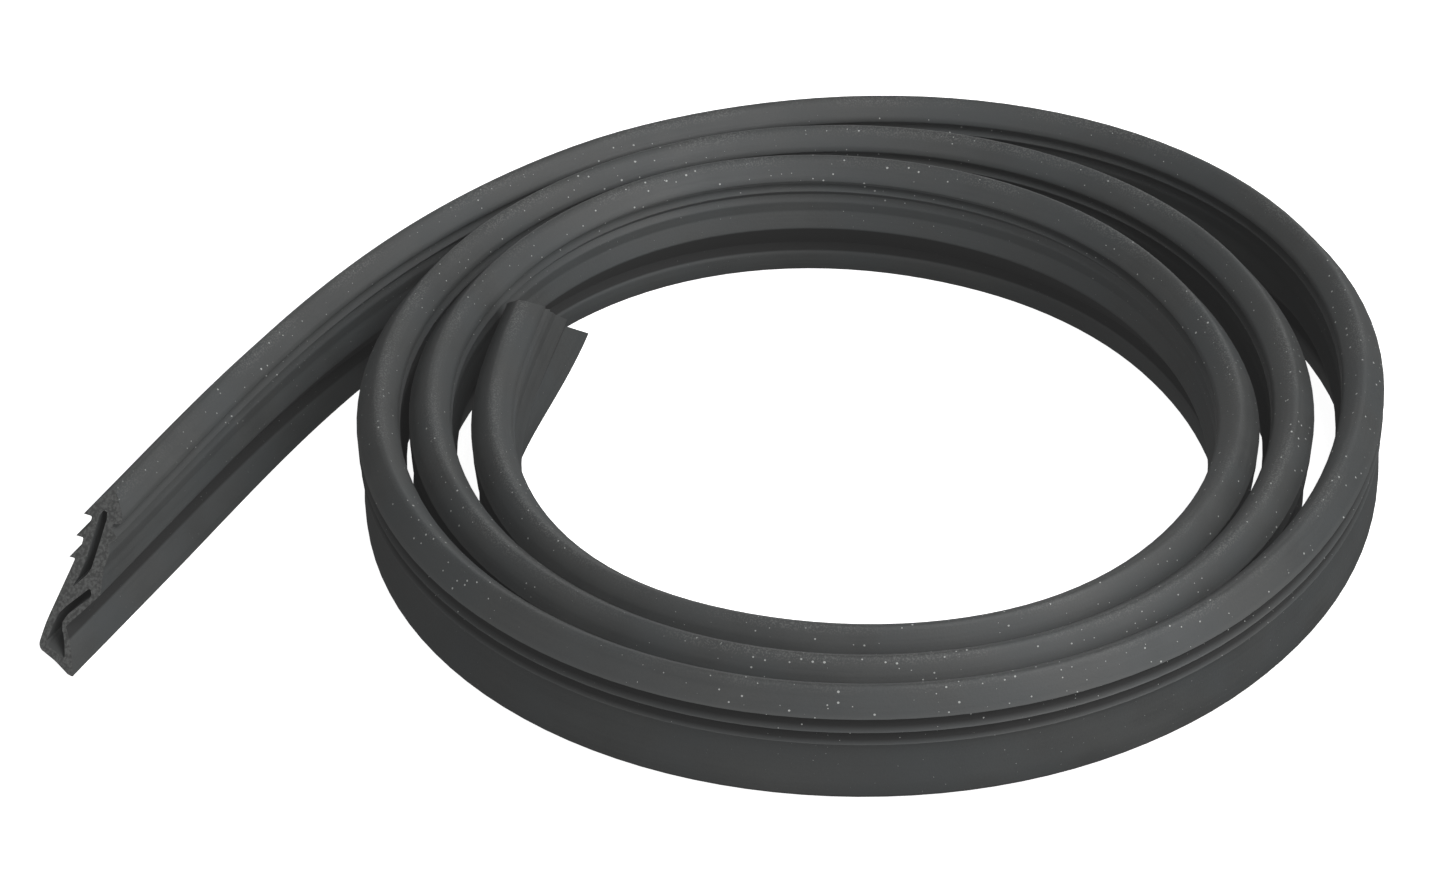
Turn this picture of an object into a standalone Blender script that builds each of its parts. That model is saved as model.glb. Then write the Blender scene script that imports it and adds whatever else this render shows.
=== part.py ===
# Dishwasher door gasket: one extruded rubber strip, supplied loosely coiled on edge.
# The strip stands on its lower lip, with the clip barbs outside the coil and the soft lips inside.
# Section places are (reach, height) in metres: reach grows outwards from the strip's base line,
# height grows upwards from the level that the strip stands on.

from math import ceil, cos, pi, radians, sin

import bmesh
import bpy
from mathutils import Matrix, Vector

# Head: the crest on top of the strip, and the soft lobe that curls down from it
HEAD_HEIGHT = 0.0250
CREST_OUTER = (0.0071, 0.0247)
CREST_REACH = 0.0064
CREST_INNER = (0.0055, 0.0246)
LOBE_SHOULDER = (0.0042, 0.0235)
LOBE_FRONT = (0.0029, 0.0223)
LOBE_TIP = (0.0025, 0.0214)
LOBE_ROOT = (0.0041, 0.0208)

# Bead: the small rib between the lobe and the main ridge
BEAD_TOP = (0.0040, 0.0201)
BEAD_TIP = (0.0022, 0.0194)
BEAD_ROOT = (0.0034, 0.0181)

# Ridge: the inclined face that closes against the tub
RIDGE_NECK = (0.0025, 0.0168)
RIDGE_TOP = (0.0025, 0.0148)
RIDGE_LOW = (0.0011, 0.0115)
GROOVE_FLOOR = (0.0052, 0.0056)

# Lower lip in its free shape, and how far the bend of the coil tucks its tip towards the body
LIP_SHOULDER = (0.0031, 0.0040)
LIP_TIP_REACH = 0.0
LIP_FOOT_WIDTH = 0.0012
LIP_UNDERSIDE = (0.0045, 0.0008)
LIP_TUCK = 0.0039

# Clip side: three barbs on the flat back of the strip
BARB_TIPS = ((0.0104, 0.0203), (0.0102, 0.0172), (0.00985, 0.0142))
BARB_ROOT_REACH = 0.0087
BARB_UNDERCUT = 0.0002
BACK_TOP_HEIGHT = 0.0127
BACK_BULGE = (0.0092, 0.0050)
HEEL = (0.0089, 0.0019)
HEEL_UNDERSIDE = (0.0081, 0.0013)

# Upper chamber: the narrow slot behind the barbs, with a round top and a pointed foot
SLOT_WIDTH = 0.0016
SLOT_TOP = (0.0065, 0.0220)
SLOT_WAIST = (0.0058, 0.0160)
SLOT_BASE = (0.0056, 0.0136)
SLOT_FOOT = (0.0070, 0.0106)

# Lower chamber: a thin throat behind the ridge that opens into the bulb
THROAT_WIDTH = 0.0009
THROAT_TOP = (0.0031, 0.0113)
THROAT_BASE = (0.0067, 0.0070)
BULB_BELLY = (0.0077, 0.0062)
BULB_FLOOR_OUTER = (0.0076, 0.0023)
BULB_FLOOR_INNER = (0.0029, 0.0016)
BULB_INNER = (0.0044, 0.0040)
BULB_BROW = (0.0060, 0.0053)

# Coil: seen from above the strip runs clockwise and winds inwards
TURN_COUNT = 3.0
INNER_RADIUS = 0.06446
TURN_CLEARANCE = 0.00045
# Places where the coil stands off from an even spiral: angle along the coil, half width, height
STAND_OFFS = (
    (143.0, 78.0, 0.0082),
    (207.0, 34.0, 0.00075),
    (326.0, 63.0, 0.00135),
    (546.0, 60.0, -0.00175),
    (786.0, 46.0, 0.0013),
    (884.0, 155.0, -0.0058),
    (905.0, 39.0, 0.0011),
    (947.0, 64.0, 0.0030),
    (1088.0, 66.0, -0.0048),
)
# Places where the head leans towards the inside of the coil: angle along the coil, half width, lean
LEANS = (
    (187.0, 55.0, 4.2),
    (330.0, 50.0, 1.4),
    (726.0, 77.0, 3.0),
)

# Outer end: the strip leaves the coil, straightens out evenly and leans more and more to its cut end
LEAD_OUT_ANGLE = 56.0
OUTER_BEND_RADIUS = 0.127
OUTER_EASE_LENGTH = 0.1276
OUTER_STRAIGHT_LENGTH = 0.032
OUTER_LEAN = 5.8
OUTER_LEAN_LENGTH = 0.130

# Inner end: the strip leaves the last turn and runs across the eye of the coil
INNER_BEND_RADIUS = 0.082
INNER_EASE_LENGTH = 0.027
INNER_STRAIGHT_LENGTH = 0.0247

# Both ends are cut at a slant, a cut's slope being its run along the strip for each unit of height,
# and near them the lip, free of the bend, relaxes to its own shape
OUTER_CUT_SLOPE = 0.90
INNER_CUT_SLOPE = 1.05
OUTER_RELAX_LENGTH = 0.128
INNER_RELAX_LENGTH = 0.060

# Facets: stations to a turn of the coil, the length between stations off the coil, the turning
# (degrees) over which the strip's heading is read, and the edge angle (degrees) that stays sharp
STATIONS_PER_TURN = 36
END_STATION = 0.0125
HEADING_SPAN = 1.0
SHARP_ANGLE = 25.0


def tucked(points, tuck):
    """The points with the lower lip tucked in: most at its tip, nothing at the groove or the back."""
    moved = []
    for reach, height in points:
        below = max(0.0, 1.0 - height / GROOVE_FLOOR[1])
        inboard = max(0.0, 1.0 - reach / HEEL[0])
        moved.append((reach + tuck * below * inboard, height))
    return moved


def barb_side():
    """The outer side of the section, from the crest down to the underside of the heel."""
    points = [(CREST_REACH, HEAD_HEIGHT), CREST_OUTER]
    for reach, height in BARB_TIPS:
        points.append((reach, height))
        points.append((BARB_ROOT_REACH, height + BARB_UNDERCUT))
    return points + [(BARB_ROOT_REACH, BACK_TOP_HEIGHT), BACK_BULGE, HEEL, HEEL_UNDERSIDE]


def lip_side(tuck):
    """The inner side of the section, from the underside of the lip up to the crest."""
    foot = LIP_TIP_REACH
    points = [LIP_UNDERSIDE, (foot + LIP_FOOT_WIDTH, 0.0), (foot, 0.0), LIP_SHOULDER, GROOVE_FLOOR]
    points += [RIDGE_LOW, RIDGE_TOP, RIDGE_NECK, BEAD_ROOT, BEAD_TIP, BEAD_TOP]
    points += [LOBE_ROOT, LOBE_TIP, LOBE_FRONT, LOBE_SHOULDER, CREST_INNER]
    return tucked(points, tuck)


def slot_chamber():
    """The upper chamber's outline."""
    half = SLOT_WIDTH / 2
    shoulder = SLOT_TOP[1] - half
    points = [(SLOT_TOP[0] + half, shoulder), (SLOT_TOP[0], SLOT_TOP[1]), (SLOT_TOP[0] - half, shoulder)]
    points += [(SLOT_WAIST[0] - half, SLOT_WAIST[1]), (SLOT_BASE[0] - half, SLOT_BASE[1]), SLOT_FOOT]
    return points + [(SLOT_BASE[0] + half, SLOT_BASE[1]), (SLOT_WAIST[0] + half, SLOT_WAIST[1])]


def bulb_chamber(tuck):
    """The lower chamber's outline, its floor following the lip."""
    half = THROAT_WIDTH / 2
    points = [(THROAT_TOP[0] + half, THROAT_TOP[1] + half), (THROAT_TOP[0] - half, THROAT_TOP[1] - half)]
    points += [(THROAT_BASE[0] - half, THROAT_BASE[1] - half), BULB_BROW, BULB_INNER]
    points += [BULB_FLOOR_INNER, BULB_FLOOR_OUTER, BULB_BELLY]
    return tucked(points + [(THROAT_BASE[0] + half, THROAT_BASE[1] + half)], tuck)


def nested_pitch():
    """The least step between turns: the widest the section gets at any one height, and a clearance."""
    inner = lip_side(LIP_TUCK)
    outer = barb_side()
    widest = 0.0
    for reach, height in outer + inner:
        widest = max(widest, reach_at(outer, height, max) - reach_at(inner, height, min))
    return widest + TURN_CLEARANCE


def reach_at(side, height, pick):
    """The extreme reach of one side of the section at this height."""
    found = []
    for (reach_a, height_a), (reach_b, height_b) in zip(side, side[1:]):
        low, high = sorted((height_a, height_b))
        if low <= height <= high and high > low:
            share = (height - height_a) / (height_b - height_a)
            found.append(reach_a + share * (reach_b - reach_a))
    return pick(found) if found else 0.5 * (side[0][0] + side[-1][0])


def waves(angle, places):
    """The sum at this angle of the smooth bumps listed as centre, half width and height."""
    total = 0.0
    for centre, half_width, height in places:
        share = (angle - centre) / half_width
        if abs(share) < 1.0:
            total += height * 0.5 * (1.0 + cos(pi * share))
    return total


def coil_point(angle, pitch):
    """The base line's place at this angle (degrees) along the coil."""
    radius = INNER_RADIUS + pitch * (TURN_COUNT - angle / 360.0) + waves(angle, STAND_OFFS)
    bearing = radians(180.0 - angle)
    return Vector((radius * cos(bearing), radius * sin(bearing), 0.0))


def coil_stations(pitch):
    """(place, heading, lean) at even angles, from the lead-out to the end of the last turn."""
    turning = 360.0 * TURN_COUNT - LEAD_OUT_ANGLE
    count = ceil(turning * STATIONS_PER_TURN / 360.0)
    half = HEADING_SPAN / 2
    stations = []
    for index in range(count + 1):
        angle = LEAD_OUT_ANGLE + turning * index / count
        heading = coil_point(angle + half, pitch) - coil_point(angle - half, pitch)
        stations.append((coil_point(angle, pitch), heading.normalized(), waves(angle, LEANS)))
    return stations


def outer_run(start):
    """Stations backwards along the strip from the coil to one station beyond the outer end."""
    run = run_out(start, -1, OUTER_BEND_RADIUS, OUTER_EASE_LENGTH, OUTER_STRAIGHT_LENGTH)
    stations = []
    for place, along, to_end in run:
        lean = OUTER_LEAN * (1.0 - smooth(to_end / OUTER_LEAN_LENGTH))
        stations.append((place, along, lean))
    return stations


def inner_run(start):
    """Stations along the strip from the coil to one station beyond the inner end."""
    run = run_out(start, 1, INNER_BEND_RADIUS, INNER_EASE_LENGTH, INNER_STRAIGHT_LENGTH)
    return [(place, along, start[2]) for place, along, to_end in run]


def run_out(start, way, radius, ease, straight):
    """(place, heading, length to the end) off the coil: way is 1 along the strip and -1 back along it."""
    place, along, _ = start
    length = ease + straight
    count = ceil(length / END_STATION)
    stride = length / count
    stations = []
    for index in range(count + 1):
        bend = max(0.0, 1.0 - (index + 0.5) * stride / ease) / radius
        half_turn = Matrix.Rotation(-way * bend * stride / 2, 3, "Z")
        place = place + way * stride * (half_turn @ along)
        along = half_turn @ half_turn @ along
        stations.append((place, along, length - (index + 1) * stride))
    return stations


def tuck_shares(stations):
    """How far the lip is tucked in at each station: it is free at both ends, full in the coil."""
    travelled = [0.0]
    for behind, ahead in zip(stations, stations[1:]):
        travelled.append(travelled[-1] + (ahead[0] - behind[0]).length)
    shares = []
    for distance in travelled:
        from_outer_end = (distance - travelled[1] - OUTER_STRAIGHT_LENGTH) / OUTER_RELAX_LENGTH
        from_inner_end = (travelled[-2] - distance) / INNER_RELAX_LENGTH
        shares.append(smooth(min(from_outer_end, from_inner_end)))
    return shares


def smooth(share):
    """Eases a share from 0 to 1 with no kink at either end."""
    share = max(0.0, min(1.0, share))
    return share * share * (3.0 - 2.0 * share)


def strip_mesh():
    """The section at every station, joined along the strip, then cut at a slant and closed."""
    coil = coil_stations(nested_pitch())
    tail = outer_run(coil[0])
    stations = tail[::-1] + coil + inner_run(coil[-1])

    mesh = bmesh.new()
    rings = []
    for (place, along, lean), share in zip(stations, tuck_shares(stations)):
        tuck = LIP_TUCK * share
        loops = [barb_side() + lip_side(tuck), slot_chamber(), bulb_chamber(tuck)]
        rings.append([place_loop(mesh, loop, place, along, tuck, lean) for loop in loops])
    spans = [join_rings(mesh, ring, following) for ring, following in zip(rings, rings[1:])]
    place, along, _ = stations[1]
    cut_and_close(mesh, spans, place, -along, OUTER_CUT_SLOPE)
    place, along, _ = stations[-2]
    cut_and_close(mesh, spans[::-1], place, along, INNER_CUT_SLOPE)
    bmesh.ops.recalc_face_normals(mesh, faces=mesh.faces)
    return mesh


def place_loop(mesh, loop, place, along, tip_reach, lean):
    """The loop's vertices at this station, the section leaning about the tip of its lip."""
    outward = Vector((-along.y, along.x, 0.0))
    tilt = radians(lean)
    verts = []
    for reach, height in loop:
        from_tip = reach - tip_reach
        leant_reach = tip_reach + from_tip * cos(tilt) - height * sin(tilt)
        leant_height = from_tip * sin(tilt) + height * cos(tilt)
        verts.append(mesh.verts.new(place + outward * leant_reach + Vector((0.0, 0.0, leant_height))))
    return verts


def join_rings(mesh, ring, following):
    """The faces between two neighbouring sections."""
    faces = []
    for loop, next_loop in zip(ring, following):
        for k, vert in enumerate(loop):
            j = (k + 1) % len(loop)
            faces.append(mesh.faces.new((vert, loop[j], next_loop[j], next_loop[k])))
    return faces


def cut_and_close(mesh, spans, place, away, slope):
    """Cuts the end that the spans start from along a slanted plane, and closes it round the chambers."""
    normal = Vector((away.x, away.y, slope)).normalized()
    reached = ceil(slope * HEAD_HEIGHT / END_STATION) + 2
    faces = [face for span in spans[:reached] for face in span]
    edges = list(dict.fromkeys(edge for face in faces for edge in face.edges))
    verts = list(dict.fromkeys(vert for face in faces for vert in face.verts))
    cut = bmesh.ops.bisect_plane(
        mesh, geom=verts + edges + faces, dist=1e-6, plane_co=place, plane_no=normal, clear_outer=True
    )
    rim = [part for part in cut["geom_cut"] if isinstance(part, bmesh.types.BMEdge)]
    bmesh.ops.triangle_fill(mesh, edges=rim, normal=normal)


def rubber():
    material = bpy.data.materials.new("black_epdm_rubber")
    material.use_nodes = True
    shader = material.node_tree.nodes["Principled BSDF"]
    shader.inputs["Base Color"].default_value = (0.030, 0.031, 0.031, 1.0)
    shader.inputs["Roughness"].default_value = 0.55
    shader.inputs["Metallic"].default_value = 0.0
    return material


def build():
    for thing in list(bpy.data.objects):
        bpy.data.objects.remove(thing, do_unlink=True)
    shape = strip_mesh()
    low = [min(vert.co[axis] for vert in shape.verts) for axis in range(3)]
    high = [max(vert.co[axis] for vert in shape.verts) for axis in range(3)]
    middle = Vector(((low[0] + high[0]) / 2, (low[1] + high[1]) / 2, low[2]))
    bmesh.ops.translate(shape, verts=shape.verts, vec=-middle)
    data = bpy.data.meshes.new("gasket_strip")
    shape.to_mesh(data)
    shape.free()
    data.materials.append(rubber())
    data.shade_smooth()
    data.set_sharp_from_angle(angle=radians(SHARP_ANGLE))
    strip = bpy.data.objects.new("gasket_strip", data)
    bpy.context.scene.collection.objects.link(strip)


build()
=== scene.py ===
from math import ceil, cos, pi, radians, sin

import bmesh
import bpy
from mathutils import Matrix, Vector


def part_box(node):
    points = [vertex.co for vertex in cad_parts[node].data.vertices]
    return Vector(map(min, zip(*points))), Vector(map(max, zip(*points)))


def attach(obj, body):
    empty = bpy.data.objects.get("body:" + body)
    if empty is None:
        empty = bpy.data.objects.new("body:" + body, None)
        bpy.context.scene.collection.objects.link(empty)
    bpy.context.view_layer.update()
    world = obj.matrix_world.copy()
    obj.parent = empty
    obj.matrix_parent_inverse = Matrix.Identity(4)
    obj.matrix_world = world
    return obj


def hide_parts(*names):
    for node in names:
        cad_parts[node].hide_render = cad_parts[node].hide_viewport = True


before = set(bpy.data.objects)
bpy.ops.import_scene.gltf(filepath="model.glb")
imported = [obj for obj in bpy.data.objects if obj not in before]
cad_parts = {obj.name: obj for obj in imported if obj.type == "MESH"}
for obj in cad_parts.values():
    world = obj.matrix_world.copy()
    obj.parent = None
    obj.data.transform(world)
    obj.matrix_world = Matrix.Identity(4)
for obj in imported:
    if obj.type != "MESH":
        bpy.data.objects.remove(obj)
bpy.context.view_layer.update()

# Section: the outer side, from the crest over the three barbs down to the underside of the heel
CREST_TOP = (0.0064, 0.0250, 0.0004)
CREST_OUTER = (0.0071, 0.0247, 0.0004)
BARB_TIPS = ((0.0104, 0.0203), (0.0102, 0.0172), (0.00985, 0.0142))
BARB_TIP_ROUNDING = 0.00012
BARB_UNDERCUT = 0.0002
BARB_ROOT_REACH = 0.0086
BARB_ROOT_ROUNDING = 0.0003
# Between two barbs the wall runs through these two places: reach, and depth below the upper tip
BARB_WALL_FOOT = (0.0084, 0.0010)
BARB_HOLLOW = (0.0091, 0.0019)
BACK_TOP = (0.0087, 0.0127, 0.0009)
BACK_BULGE = (0.0092, 0.0050, 0.0012)
HEEL = (0.0089, 0.0019, 0.0005)
HEEL_UNDERSIDE = (0.0081, 0.0013, 0.0004)

# Section: the inner side, from the underside of the lip up over the ridge, bead and lobe
LIP_UNDERSIDE = (0.0045, 0.0008, 0.0008)
LIP_FOOT = (0.0012, 0.0, 0.0002)
LIP_TIP = (0.0, 0.0, 0.0002)
LIP_SHOULDER = (0.0031, 0.0040, 0.0007)
GROOVE_FLOOR = (0.0052, 0.0056, 0.0002)
RIDGE_LOW = (0.0011, 0.0115, 0.0003)
RIDGE_TOP = (0.0025, 0.0148, 0.0003)
RIDGE_NECK = (0.0025, 0.0168, 0.0003)
BEAD_ROOT = (0.0034, 0.0181, 0.0002)
BEAD_TIP = (0.0022, 0.0194, 0.0003)
BEAD_TOP = (0.0040, 0.0201, 0.0002)
LOBE_ROOT = (0.0041, 0.0208, 0.0002)
LOBE_TIP = (0.0025, 0.0214, 0.0003)
LOBE_FRONT = (0.0029, 0.0223, 0.0004)
LOBE_SHOULDER = (0.0042, 0.0235, 0.0006)
CREST_INNER = (0.0055, 0.0246, 0.0004)
LIP_TUCK = 0.0039

# Chambers: the slot behind the barbs, and the throat that opens into the bulb
SLOT = (
    (0.0073, 0.0216, 0.0006), (0.0065, 0.0222, 0.0006), (0.0057, 0.0216, 0.0006),
    (0.0050, 0.0160, 0.0010), (0.0048, 0.0136, 0.0006), (0.0070, 0.0106, 0.0003),
    (0.0064, 0.0136, 0.0010), (0.0066, 0.0160, 0.0010),
)
BULB = (
    (0.00355, 0.01175, 0.0003), (0.00265, 0.01085, 0.0003), (0.00625, 0.00655, 0.0008),
    (0.0060, 0.0053, 0.0006), (0.0044, 0.0040, 0.0008), (0.0029, 0.0016, 0.0003),
    (0.0076, 0.0023, 0.0004), (0.0077, 0.0062, 0.0010), (0.00715, 0.00745, 0.0008),
)

# Coil: seen from above the strip runs clockwise and winds inwards
TURN_COUNT = 3.0
INNER_RADIUS = 0.06446
TURN_PITCH = 0.008128
LEAD_OUT_ANGLE = 56.0
# Places where the coil stands off from an even spiral: angle along the coil, half width, height
STAND_OFFS = (
    (143.0, 78.0, 0.0082), (207.0, 34.0, 0.00075), (326.0, 63.0, 0.00135),
    (546.0, 60.0, -0.00175), (786.0, 46.0, 0.0013), (884.0, 155.0, -0.0058),
    (905.0, 39.0, 0.0011), (947.0, 64.0, 0.0030), (1088.0, 66.0, -0.0048),
)
# Places where the head leans towards the inside of the coil: angle along the coil, half width, lean
LEANS = ((187.0, 55.0, 4.2), (330.0, 50.0, 1.4), (726.0, 77.0, 3.0))

# Both ends run out of the coil: first radius, length over which the bend eases off, straight length
OUTER_RUN = (0.127, 0.1276, 0.032)
INNER_RUN = (0.082, 0.027, 0.0247)
OUTER_CUT_SLOPE = 0.90
INNER_CUT_SLOPE = 1.05
OUTER_RELAX_LENGTH = 0.128
INNER_RELAX_LENGTH = 0.060
# How far each end's head leans in, in degrees, and the length over which it comes to that
OUTER_LEAN = 5.8
INNER_LEAN = 0.0
END_LEAN_LENGTH = 0.130

# Mesh: the length between stations, the steps on each rounded corner, the largest share of a side
# that a rounding takes, the heading's reading span, and the stations cut away at each end
STATION = 0.0035
CORNER_STEPS = 3
CHAMBER_CORNER_STEPS = 1
ROUNDING_SHARE = 0.45
HEADING_SPAN = 0.5
EXTRA_STATIONS = 3
CUT_TOLERANCE = 1e-7
SHARP_ANGLE = 32.0
# How near a point lies to a place that gets painted shade, and how far beyond a corner's rounding
# that place is
PAINTED_SHADE_REACH = 0.00035
PAINTED_SHADE_BEYOND = 0.000315

# Rubber colours: the plain rubber between two tones, then what lies over it: a painted highlight on
# the barb tips and along the crest, painted shade between the barbs and under the ridge, the cut
# faces and dust
RUBBER_DARK = (0.033, 0.035, 0.035, 1.0)
RUBBER_LIGHT = (0.047, 0.049, 0.048, 1.0)
RUBBER_TINT = (0.036, 0.041, 0.043, 1.0)
# Painted highlight: a lighter colour laid on the barb tips and along the crest
PAINTED_HIGHLIGHT_COLOUR = (0.085, 0.087, 0.085, 1.0)
# Painted shade: near-black colour laid between the barbs and under the ridge, where shade falls
PAINTED_SHADE_COLOUR = (0.010, 0.010, 0.010, 1.0)
CUT_DARK = (0.038, 0.039, 0.038, 1.0)
CUT_LIGHT = (0.088, 0.090, 0.088, 1.0)
DUST_COLOUR = (0.34, 0.35, 0.34, 1.0)

# Noise patterns: scale, as one over metres, and detail
MOTTLE = (110.0, 4.0)
GRAIN = (2200.0, 2.0)
TINT = (55.0, 2.0)
SPECKLE = (1800.0, 2.0)
# The specks and patches that break up the painted highlight along the crest like powder
POWDER_HIGHLIGHT = (3200.0, 1.0)
POWDER_HIGHLIGHT_PATCH = (45.0, 1.0)
DUST_PATCH = (28.0, 1.0)
# The extrusion lines are long along the strip and fine around it: stretch, then pattern
DRAWN_LINES = (14.0, 1500.0, 7.0)
LINES = (1.0, 3.0)

# How the patterns are spread: from low, from high, and where it isn't 0 to 1, to low and to high
TONE_SPREAD = (0.36, 0.64)
TINT_SPREAD = (0.42, 0.62)
# The painted highlight on the barb tips, broken into streaks along the extrusion lines
TIP_HIGHLIGHT_SPREAD = (0.80, 1.0)
TIP_HIGHLIGHT_LINE_SPREAD = (0.35, 0.65, 0.4, 1.0)
# The height band of the painted highlight along the crest, then its powder specks and patches
CREST_HIGHLIGHT_HEIGHTS = (0.0236, 0.0246)
POWDER_HIGHLIGHT_SPREAD = (0.50, 0.62)
POWDER_HIGHLIGHT_PATCH_SPREAD = (0.44, 0.60, 0.15, 0.95)
SPECKLE_SPREAD = (0.40, 0.62)
DUST_HEIGHTS = (0.012, 0.023, 0.35, 1.0)
DUST_PATCH_SPREAD = (0.38, 0.62, 0.25, 1.1)
DUST_EDGE_SPREAD = (0.0, 0.006)
GLOSS_SPREAD = (0.75, 1.25, 0.55, 0.66)

# Shares of the mottle, lines and grain in the tone, and of each layer of colour over the last
MOTTLE_SHARE = 0.45
LINE_SHARE = 0.35
GRAIN_SHARE = 0.20
TINT_SHARE = 0.6
# How much of the painted highlight is laid on the barb tips
TIP_HIGHLIGHT_SHARE = 0.35
# How much of the painted shade is laid over the rubber
PAINTED_SHADE_SHARE = 0.9

# Dust: the scale of its cells, the luck that a cell needs for a speck, and how it grows with more
DUST_SCALE = 520.0
DUST_RARITY = 0.60
DUST_SIZE = 0.27

# Surface: the roughness of the cut faces and of the places with painted shade, and the fine relief
CUT_ROUGHNESS = 0.70
PAINTED_SHADE_ROUGHNESS = 0.90
GRAIN_RELIEF = 0.5
LINE_RELIEF = 0.6
RELIEF_STRENGTH = 0.5
RELIEF_DEPTH = 0.00008

# Floor: it glows nearly white, lies just under the coil and is seen by the camera alone
FLOOR_COLOUR = (0.80, 0.80, 0.80, 1.0)
FLOOR_ROUGHNESS = 0.9
FLOOR_SPECULAR = 0.1
FLOOR_GLOW = 0.95
FLOOR_HALF_SIDE = 6.0
FLOOR_DROP = 0.0002

# Lights: name, place, what it is aimed at, size and radiance, with white as 1
WHITE = (1.0, 1.0, 1.0, 1.0)
CENTRE = (0.0, 0.0, 0.0)
SOFTBOXES = (
    ("key", (0.75, -0.45, 1.65), CENTRE, (1.2, 1.2), 4.0),
    ("front", (-0.85, -1.55, 0.50), CENTRE, (1.6, 0.8), 1.7),
    ("side", (1.35, -0.85, 0.95), CENTRE, (1.6, 1.6), 3.2),
    ("left", (-1.5, -0.15, 0.40), CENTRE, (1.2, 0.5), 1.1),
    ("bounce", (0.03, -0.26, -0.10), (0.03, -0.09, 0.01), (0.40, 0.12), 0.50),
    ("backdrop", (0.0, 1.6, 0.35), CENTRE, (3.0, 0.9), 1.0),
)
# The even dome's radiance, and how much the haze in the lens lifts the blacks
DOME = 0.12
HAZE = 1.2

# Camera: its height above the floor as an angle, its distance from the aim point, and its lens
# and sensor in millimetres; the aim point is given from the coil's own centre
ELEVATION = 36.57
AIM_DISTANCE = 1.3134
LENS = 173.77
SENSOR_WIDTH = 36.0
AIM_FROM_COIL = Vector((-0.02403, 0.01493, 0.0))


def rounded(corners, steps):
    """The closed outline with every corner turned into a short curve."""
    points = []
    for k, (reach, height, rounding) in enumerate(corners):
        corner = Vector((reach, height))
        before = Vector(corners[k - 1][:2]) - corner
        after = Vector(corners[(k + 1) % len(corners)][:2]) - corner
        start = corner + before.normalized() * min(rounding, ROUNDING_SHARE * before.length)
        end = corner + after.normalized() * min(rounding, ROUNDING_SHARE * after.length)
        for step in range(steps + 1):
            t = step / steps
            points.append(start * (1 - t) ** 2 + corner * 2 * t * (1 - t) + end * t * t)
    return points


def outer_corners():
    """The section's corners, from under the lip on: the outline's seam lies on the floor side."""
    inner = [LIP_FOOT, LIP_TIP, LIP_SHOULDER, GROOVE_FLOOR, RIDGE_LOW, RIDGE_TOP, RIDGE_NECK]
    inner += [BEAD_ROOT, BEAD_TIP, BEAD_TOP]
    inner += [LOBE_ROOT, LOBE_TIP, LOBE_FRONT, LOBE_SHOULDER, CREST_INNER]
    outer = [CREST_TOP, CREST_OUTER]
    for reach, height in BARB_TIPS:
        root, foot, hollow = barb_hollow(height)
        outer.append((reach, height, BARB_TIP_ROUNDING))
        outer.append((*root, BARB_ROOT_ROUNDING))
        if (reach, height) != BARB_TIPS[-1]:
            outer.append((*foot, BARB_ROOT_ROUNDING))
            outer.append((*hollow, BARB_ROOT_ROUNDING))
    return inner + outer + [BACK_TOP, BACK_BULGE, HEEL, HEEL_UNDERSIDE, LIP_UNDERSIDE]


def barb_hollow(tip_height):
    """The places of the root, wall foot and hollow that go with a barb tip at this height."""
    return (
        (BARB_ROOT_REACH, tip_height + BARB_UNDERCUT),
        (BARB_WALL_FOOT[0], tip_height - BARB_WALL_FOOT[1]),
        (BARB_HOLLOW[0], tip_height - BARB_HOLLOW[1]),
    )


def tip_highlight_marks(loop):
    """1 for the outline's points at the barb tips, where a highlight is painted, and 0 for the
    rest.
    """
    tips = [Vector(tip) for tip in BARB_TIPS]
    reach = 2 * BARB_TIP_ROUNDING
    return [float(min((point - tip).length for tip in tips) < reach) for point in loop]


def painted_shade_marks(loop):
    """1 for the outline's points between the barbs and under the ridge, where shade is painted, and
    0 for the rest.
    """
    groove = Vector(GROOVE_FLOOR[:2])
    spots = [groove]
    for reach, height, rounding in (RIDGE_LOW, LIP_SHOULDER):
        corner = Vector((reach, height))
        spots.append(corner + (groove - corner).normalized() * (rounding + PAINTED_SHADE_BEYOND))
    for _, height in BARB_TIPS:
        spots += [Vector(spot) for spot in barb_hollow(height)]
    return [float(min((point - spot).length for spot in spots) < PAINTED_SHADE_REACH) for point in loop]


def outline_marks(loop):
    """How far along the outline each of its points lies."""
    marks = [0.0]
    for behind, ahead in zip(loop, loop[1:]):
        marks.append(marks[-1] + (ahead - behind).length)
    return marks


def tucked(point, tuck):
    """The point with the lower lip tucked in: most at its tip, not at all at the groove or back."""
    below = max(0.0, 1.0 - point.y / GROOVE_FLOOR[1])
    inboard = max(0.0, 1.0 - point.x / HEEL[0])
    return Vector((point.x + tuck * below * inboard, point.y))


def leant(point, lean, tip_reach):
    """The point with the section leaning towards the inside of the coil, about the lip's tip."""
    tilt = radians(lean)
    from_tip = point.x - tip_reach
    reach = tip_reach + from_tip * cos(tilt) - point.y * sin(tilt)
    return Vector((reach, from_tip * sin(tilt) + point.y * cos(tilt)))


def smooth(share):
    """The share from 0 to 1 with an even start and end."""
    share = max(0.0, min(1.0, share))
    return share * share * (3.0 - 2.0 * share)


def waves(angle, places):
    """The sum at this angle of the smooth bumps listed as centre, half width and height."""
    total = 0.0
    for centre, half_width, height in places:
        share = (angle - centre) / half_width
        if abs(share) < 1.0:
            total += height * 0.5 * (1.0 + cos(pi * share))
    return total


def coil_point(angle):
    """The base line's place at this angle along the coil."""
    turns_left = TURN_COUNT - angle / 360.0
    radius = INNER_RADIUS + TURN_PITCH * turns_left + waves(angle, STAND_OFFS)
    bearing = radians(180.0 - angle)
    return Vector((radius * cos(bearing), radius * sin(bearing), 0.0))


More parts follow.
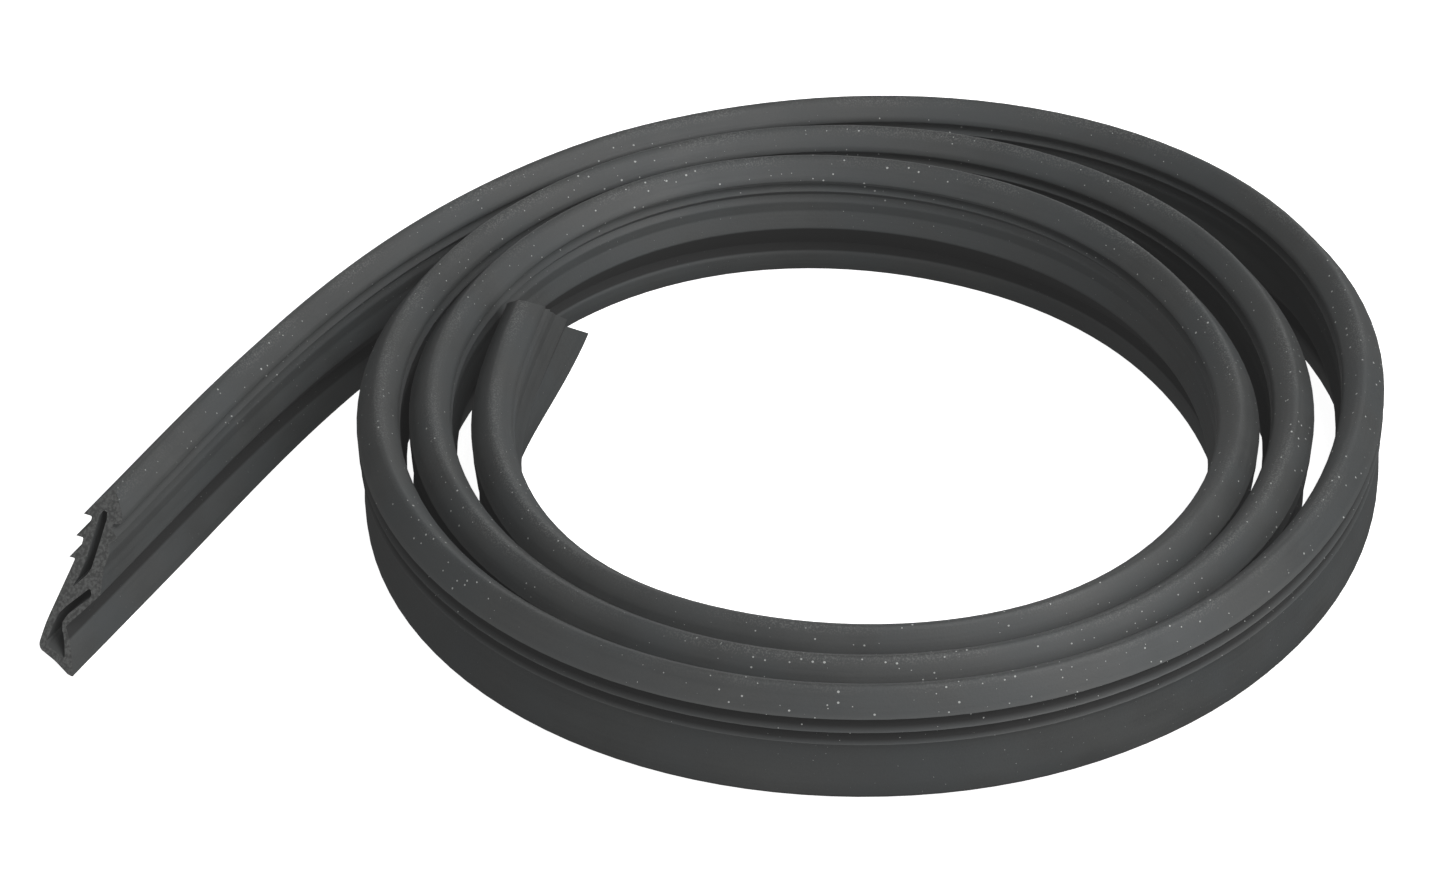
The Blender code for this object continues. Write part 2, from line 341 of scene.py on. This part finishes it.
def coil_stations():
    """(place, heading, lean) from where the strip leaves the coil to its last turn's end."""
    turning = 360.0 * TURN_COUNT - LEAD_OUT_ANGLE
    count = ceil(turning / (STATION / INNER_RADIUS * 180.0 / pi))
    half = HEADING_SPAN / 2
    stations = []
    for index in range(count + 1):
        angle = LEAD_OUT_ANGLE + turning * index / count
        heading = (coil_point(angle + half) - coil_point(angle - half)).normalized()
        stations.append((coil_point(angle), heading, waves(angle, LEANS)))
    return stations


def run_out(start, way, run, end_lean):
    """Stations from the coil to just beyond an end: way is 1 along the strip, -1 back along it."""
    place, along, _ = start
    radius, ease, straight = run
    length = ease + straight
    count = ceil(length / STATION)
    stride = length / count
    stations = []
    for index in range(count + EXTRA_STATIONS):
        bend = max(0.0, 1.0 - (index + 0.5) * stride / ease) / radius
        half_turn = Matrix.Rotation(-way * bend * stride / 2, 3, "Z")
        place = place + way * stride * (half_turn @ along)
        along = half_turn @ half_turn @ along
        to_end = length - (index + 1) * stride
        stations.append((place, along, end_lean * (1.0 - smooth(to_end / END_LEAN_LENGTH))))
    return stations


def strip_stations():
    """(place, heading, lean) along the strip, from beyond its outer end to beyond its inner end."""
    coil = coil_stations()
    outer = run_out(coil[0], -1, OUTER_RUN, OUTER_LEAN)
    inner = run_out(coil[-1], 1, INNER_RUN, INNER_LEAN)
    return outer[::-1] + coil + inner


def strip_mesh():
    """The rounded section swept along the strip, cut at a slant at both ends and closed."""
    stations = strip_stations()
    travelled = [0.0]
    for behind, ahead in zip(stations, stations[1:]):
        travelled.append(travelled[-1] + (ahead[0] - behind[0]).length)
    outer_end = travelled[EXTRA_STATIONS]
    inner_end = travelled[-1 - EXTRA_STATIONS]

    loops = [
        rounded(outer_corners(), CORNER_STEPS),
        rounded(SLOT, CHAMBER_CORNER_STEPS),
        rounded(BULB, CHAMBER_CORNER_STEPS),
    ]
    slot_index = 1
    marks = []
    for loop in loops:
        marks.append(list(zip(outline_marks(loop), tip_highlight_marks(loop), painted_shade_marks(loop))))
    mesh = bmesh.new()
    place_layer = mesh.verts.layers.float_vector.new("strip_place")
    # The mask of the points on the barb tips that get a painted highlight
    tip_highlight_layer = mesh.verts.layers.float.new("tip_highlight_mark")
    # The mask of the points that get painted shade between the barbs and under the ridge
    painted_shade_layer = mesh.verts.layers.float.new("painted_shade")
    mesh.faces.layers.float.new("cut_face")
    rings = []
    for (place, along, lean), distance in zip(stations, travelled):
        outward = Vector((-along.y, along.x, 0.0))
        from_outer_end = (distance - outer_end - OUTER_RUN[2]) / OUTER_RELAX_LENGTH
        from_inner_end = (inner_end - distance) / INNER_RELAX_LENGTH
        tuck = LIP_TUCK * smooth(min(from_outer_end, from_inner_end))
        ring = []
        for index, loop in enumerate(loops):
            verts = []
            for point, (mark, edge, shade_mark) in zip(loop, marks[index]):
                spot = point if index == slot_index else tucked(point, tuck)
                spot = leant(spot, lean, tuck)
                vert = mesh.verts.new(place + outward * spot.x + Vector((0.0, 0.0, spot.y)))
                vert[place_layer] = (distance, mark, index)
                vert[tip_highlight_layer] = edge
                vert[painted_shade_layer] = shade_mark
                verts.append(vert)
            ring.append(verts)
        rings.append(ring)
    spans = [join_rings(mesh, ring, following) for ring, following in zip(rings, rings[1:])]
    place, along, _ = stations[EXTRA_STATIONS]
    cut_and_close(mesh, spans, place, -along, OUTER_CUT_SLOPE)
    place, along, _ = stations[-1 - EXTRA_STATIONS]
    cut_and_close(mesh, spans[::-1], place, along, INNER_CUT_SLOPE)
    bmesh.ops.recalc_face_normals(mesh, faces=mesh.faces)
    return mesh


def join_rings(mesh, ring, following):
    """The faces between one ring of points and the next."""
    faces = []
    for loop, next_loop in zip(ring, following):
        for k, vert in enumerate(loop):
            j = (k + 1) % len(loop)
            faces.append(mesh.faces.new((vert, loop[j], next_loop[j], next_loop[k])))
    return faces


def cut_and_close(mesh, spans, place, away, slope):
    """Cuts the spans' first end along a slanted plane and closes it, but for the chambers."""
    normal = Vector((away.x, away.y, slope)).normalized()
    reached = ceil(CREST_TOP[1] / STATION) + 2 * EXTRA_STATIONS
    faces = [face for span in spans[:reached] for face in span]
    edges = list(dict.fromkeys(edge for face in faces for edge in face.edges))
    verts = list(dict.fromkeys(vert for face in faces for vert in face.verts))
    cut = bmesh.ops.bisect_plane(
        mesh,
        geom=verts + edges + faces,
        dist=CUT_TOLERANCE,
        plane_co=place,
        plane_no=normal,
        clear_outer=True,
    )
    rim = [part for part in cut["geom_cut"] if isinstance(part, bmesh.types.BMEdge)]
    filled = bmesh.ops.triangle_fill(mesh, edges=rim, normal=normal)
    layer = mesh.faces.layers.float["cut_face"]
    for part in filled["geom"]:
        if isinstance(part, bmesh.types.BMFace):
            part[layer] = 1.0


def node(tree, kind, inputs, **settings):
    """A new node with its settings, and with its inputs linked or given."""
    made = tree.nodes.new(kind)
    for name, value in settings.items():
        setattr(made, name, value)
    for key, value in inputs.items():
        if isinstance(value, bpy.types.NodeSocket):
            tree.links.new(value, made.inputs[key])
        else:
            made.inputs[key].default_value = value
    return made


def attribute(tree, name, output="Fac"):
    """What the mesh carries under this name."""
    return node(tree, "ShaderNodeAttribute", {}, attribute_name=name).outputs[output]


def noise(tree, place, pattern):
    """Soft noise with this scale and detail."""
    scale, detail = pattern
    settings = {"Vector": place, "Scale": scale, "Detail": detail}
    return node(tree, "ShaderNodeTexNoise", settings).outputs[0]


def sum_of(tree, *values):
    """The values added up."""
    total = values[0]
    for value in values[1:]:
        total = node(tree, "ShaderNodeMath", {0: total, 1: value}, operation="ADD").outputs[0]
    return total


def product(tree, *values):
    """The values multiplied together."""
    total = values[0]
    for value in values[1:]:
        total = node(tree, "ShaderNodeMath", {0: total, 1: value}, operation="MULTIPLY").outputs[0]
    return total


def minus(tree, value, less):
    """The first value less the second."""
    return node(tree, "ShaderNodeMath", {0: value, 1: less}, operation="SUBTRACT").outputs[0]


def ramp(tree, value, low, high, to_low=0.0, to_high=1.0):
    """The value spread from one range onto another and held inside it."""
    spread = {"From Min": low, "From Max": high, "To Min": to_low, "To Max": to_high}
    return node(tree, "ShaderNodeMapRange", {"Value": value, **spread}).outputs[0]


def blend(tree, share, first, second):
    """The second colour over the first by this share."""
    mixed = node(tree, "ShaderNodeMix", {0: share, 6: first, 7: second}, data_type="RGBA")
    return mixed.outputs[2]


def between(tree, share, first, second):
    """The number that lies this share of the way from the first to the second."""
    return node(tree, "ShaderNodeMix", {0: share, 2: first, 3: second}).outputs[0]


def dust_specks(tree, strip, place, height):
    """1 on the specks of dust, which are larger higher up and gather in patches."""
    pattern = {"Vector": strip, "Scale": DUST_SCALE}
    cells = node(tree, "ShaderNodeTexVoronoi", pattern, voronoi_dimensions="2D")
    luck = node(tree, "ShaderNodeSeparateColor", {0: cells.outputs["Color"]}).outputs[0]
    raised = ramp(tree, height, *DUST_HEIGHTS)
    patch = ramp(tree, noise(tree, place, DUST_PATCH), *DUST_PATCH_SPREAD)
    size = product(tree, minus(tree, luck, DUST_RARITY), DUST_SIZE, product(tree, raised, patch))
    return ramp(tree, minus(tree, size, cells.outputs[0]), *DUST_EDGE_SPREAD)


def rubber():
    """Black EPDM rubber: semi-matt, a little mottled, with extrusion lines, fine grain and dust, a
    painted highlight on the barb tips and along the crest, and painted shade between the barbs and
    under the ridge.
    """
    material = bpy.data.materials.new("black_rubber")
    material.use_nodes = True
    tree = material.node_tree
    shader = tree.nodes["Principled BSDF"]
    place = node(tree, "ShaderNodeTexCoord", {}).outputs["Object"]
    height = node(tree, "ShaderNodeSeparateXYZ", {0: place}).outputs["Z"]
    strip = attribute(tree, "strip_place", "Vector")
    cut = attribute(tree, "cut_face")
    edge = attribute(tree, "tip_highlight_mark")
    painted_shade = attribute(tree, "painted_shade")

    mottle = noise(tree, place, MOTTLE)
    grain = noise(tree, place, GRAIN)
    stretch = {0: strip, 1: DRAWN_LINES}
    drawn = node(tree, "ShaderNodeVectorMath", stretch, operation="MULTIPLY").outputs[0]
    lines = noise(tree, drawn, LINES)
    dust = dust_specks(tree, strip, place, height)

    tone = sum_of(
        tree,
        product(tree, mottle, MOTTLE_SHARE),
        product(tree, lines, LINE_SHARE),
        product(tree, grain, GRAIN_SHARE),
    )
    colour = blend(tree, ramp(tree, tone, *TONE_SPREAD), RUBBER_DARK, RUBBER_LIGHT)
    tint = ramp(tree, noise(tree, place, TINT), *TINT_SPREAD)
    colour = blend(tree, product(tree, tint, TINT_SHARE), colour, RUBBER_TINT)
    # Painted highlight on the barb tips, streaked along the extrusion lines
    tip_highlight = product(tree, ramp(tree, edge, *TIP_HIGHLIGHT_SPREAD), ramp(tree, lines, *TIP_HIGHLIGHT_LINE_SPREAD))
    colour = blend(tree, product(tree, tip_highlight, TIP_HIGHLIGHT_SHARE), colour, PAINTED_HIGHLIGHT_COLOUR)
    # Painted shade: near-black between the barbs and under the ridge
    colour = blend(tree, product(tree, painted_shade, PAINTED_SHADE_SHARE), colour, PAINTED_SHADE_COLOUR)
    # Painted highlight along the crest top, in powder-like specks and patches
    crest_band = ramp(tree, height, *CREST_HIGHLIGHT_HEIGHTS)
    powder_and_highlight = ramp(tree, noise(tree, place, POWDER_HIGHLIGHT), *POWDER_HIGHLIGHT_SPREAD)
    powder_highlight_patch = ramp(tree, noise(tree, place, POWDER_HIGHLIGHT_PATCH), *POWDER_HIGHLIGHT_PATCH_SPREAD)
    colour = blend(tree, product(tree, powder_and_highlight, powder_highlight_patch, crest_band), colour, PAINTED_HIGHLIGHT_COLOUR)
    speckle = ramp(tree, noise(tree, place, SPECKLE), *SPECKLE_SPREAD)
    colour = blend(tree, cut, colour, blend(tree, speckle, CUT_DARK, CUT_LIGHT))
    colour = blend(tree, dust, colour, DUST_COLOUR)
    tree.links.new(colour, shader.inputs["Base Color"])

    roughness = ramp(tree, sum_of(tree, lines, mottle), *GLOSS_SPREAD)
    roughness = between(tree, cut, roughness, CUT_ROUGHNESS)
    roughness = between(tree, painted_shade, roughness, PAINTED_SHADE_ROUGHNESS)
    tree.links.new(roughness, shader.inputs["Roughness"])

    relief = sum_of(
        tree, product(tree, grain, GRAIN_RELIEF), product(tree, lines, LINE_RELIEF), dust
    )
    settings = {"Strength": RELIEF_STRENGTH, "Distance": RELIEF_DEPTH, "Height": relief}
    bump = node(tree, "ShaderNodeBump", settings)
    tree.links.new(bump.outputs[0], shader.inputs["Normal"])
    return material


def strip_piece():
    """The rubber strip, set where the solid is; it gives how far it was moved for that."""
    shape = strip_mesh()
    low = Vector([min(vert.co[axis] for vert in shape.verts) for axis in range(3)])
    high = Vector([max(vert.co[axis] for vert in shape.verts) for axis in range(3)])
    cad_low, cad_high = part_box("gasket_strip")
    shift = (cad_low + cad_high) / 2 - (low + high) / 2
    shift.z = cad_low.z - low.z
    bmesh.ops.translate(shape, verts=shape.verts, vec=shift)
    data = bpy.data.meshes.new("gasket_rubber")
    shape.to_mesh(data)
    shape.free()
    data.materials.append(rubber())
    data.shade_smooth()
    data.set_sharp_from_angle(angle=radians(SHARP_ANGLE))
    piece = bpy.data.objects.new("gasket_rubber", data)
    bpy.context.scene.collection.objects.link(piece)
    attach(piece, "root")
    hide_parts("gasket_strip")
    return shift


def floor():
    """A pale plain floor that only the camera sees."""
    material = bpy.data.materials.new("pale_floor")
    material.use_nodes = True
    shader = material.node_tree.nodes["Principled BSDF"]
    shader.inputs["Base Color"].default_value = FLOOR_COLOUR
    shader.inputs["Roughness"].default_value = FLOOR_ROUGHNESS
    shader.inputs["Specular IOR Level"].default_value = FLOOR_SPECULAR
    shader.inputs["Emission Color"].default_value = WHITE
    shader.inputs["Emission Strength"].default_value = FLOOR_GLOW
    data = bpy.data.meshes.new("studio_floor")
    side = FLOOR_HALF_SIDE
    corners = [(-side, -side, 0), (side, -side, 0), (side, side, 0), (-side, side, 0)]
    data.from_pydata(corners, [], [(0, 1, 2, 3)])
    data.materials.append(material)
    plane = bpy.data.objects.new("studio_floor", data)
    plane.location = (0.0, 0.0, -FLOOR_DROP)
    plane.visible_diffuse = False
    plane.visible_glossy = False
    plane.visible_shadow = False
    bpy.context.scene.collection.objects.link(plane)


def softbox(name, place, aim, size, radiance):
    """An even rectangular light of this radiance."""
    lamp = bpy.data.lights.new(name, "AREA")
    lamp.shape = "RECTANGLE"
    lamp.size, lamp.size_y = size
    lamp.energy = radiance * pi * size[0] * size[1]
    holder = bpy.data.objects.new(name, lamp)
    holder.location = place
    holder.rotation_euler = (Vector(aim) - Vector(place)).to_track_quat("-Z", "Y").to_euler()
    bpy.context.scene.collection.objects.link(holder)


def studio():
    """A dim even dome, and soft lights above, in front, at both sides, behind and low in front."""
    world = bpy.data.worlds.new("studio")
    world.use_nodes = True
    background = world.node_tree.nodes["Background"]
    background.inputs["Color"].default_value = WHITE
    background.inputs["Strength"].default_value = DOME
    scene = bpy.context.scene
    scene.world = world
    scene.view_settings.view_transform = "Standard"
    for light in SOFTBOXES:
        softbox(*light)


def lens_haze():
    """Lifts the blacks a little, as light scattered in a lens does."""
    scene = bpy.context.scene
    scene.use_nodes = True
    tree = scene.node_tree
    tree.nodes.clear()
    layers = tree.nodes.new("CompositorNodeRLayers")
    lift = tree.nodes.new("CompositorNodeBrightContrast")
    lift.inputs["Bright"].default_value = HAZE
    result = tree.nodes.new("CompositorNodeComposite")
    tree.links.new(layers.outputs["Image"], lift.inputs["Image"])
    tree.links.new(lift.outputs["Image"], result.inputs["Image"])


def camera(shift):
    """The camera at the photograph's angle, aimed from the coil's own centre."""
    data = bpy.data.cameras.new("camera")
    data.sensor_width = SENSOR_WIDTH
    data.lens = LENS
    holder = bpy.data.objects.new("camera", data)
    aim = AIM_FROM_COIL + Vector((shift.x, shift.y, 0.0))
    tilt = radians(ELEVATION)
    holder.location = aim + AIM_DISTANCE * Vector((0.0, -cos(tilt), sin(tilt)))
    holder.rotation_euler = (pi / 2 - tilt, 0.0, 0.0)
    bpy.context.scene.collection.objects.link(holder)
    bpy.context.scene.camera = holder


shift = strip_piece()
floor()
studio()
lens_haze()
camera(shift)
